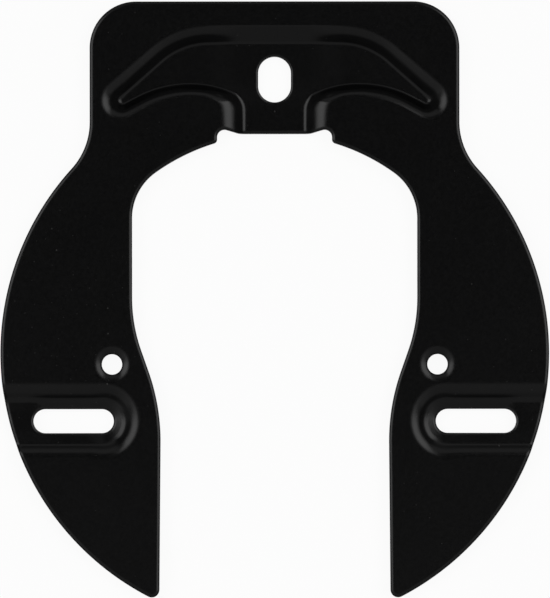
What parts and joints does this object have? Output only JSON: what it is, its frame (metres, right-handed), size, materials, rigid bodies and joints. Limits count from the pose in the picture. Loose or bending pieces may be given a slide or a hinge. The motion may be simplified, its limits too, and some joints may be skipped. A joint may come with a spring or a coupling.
{
  "type": "bike lock bracket",
  "caption": "Horseshoe mounting plate for a bicycle ring lock, pressed from black coated sheet steel, with a winged recess in its head and slotted arms.",
  "frame": {"origin": "middle of the plate's outline, at the level of its lowest boss", "axes": "+Y towards the head, +Z out of the front, +X to the right as seen from the front"},
  "size_m": [0.137, 0.1488, 0.0045],
  "materials": {
    "black_coat": "satin"
  },
  "bodies": {
    "root": {"mounting_plate": "black_coat"}
  },
  "joints": []
}
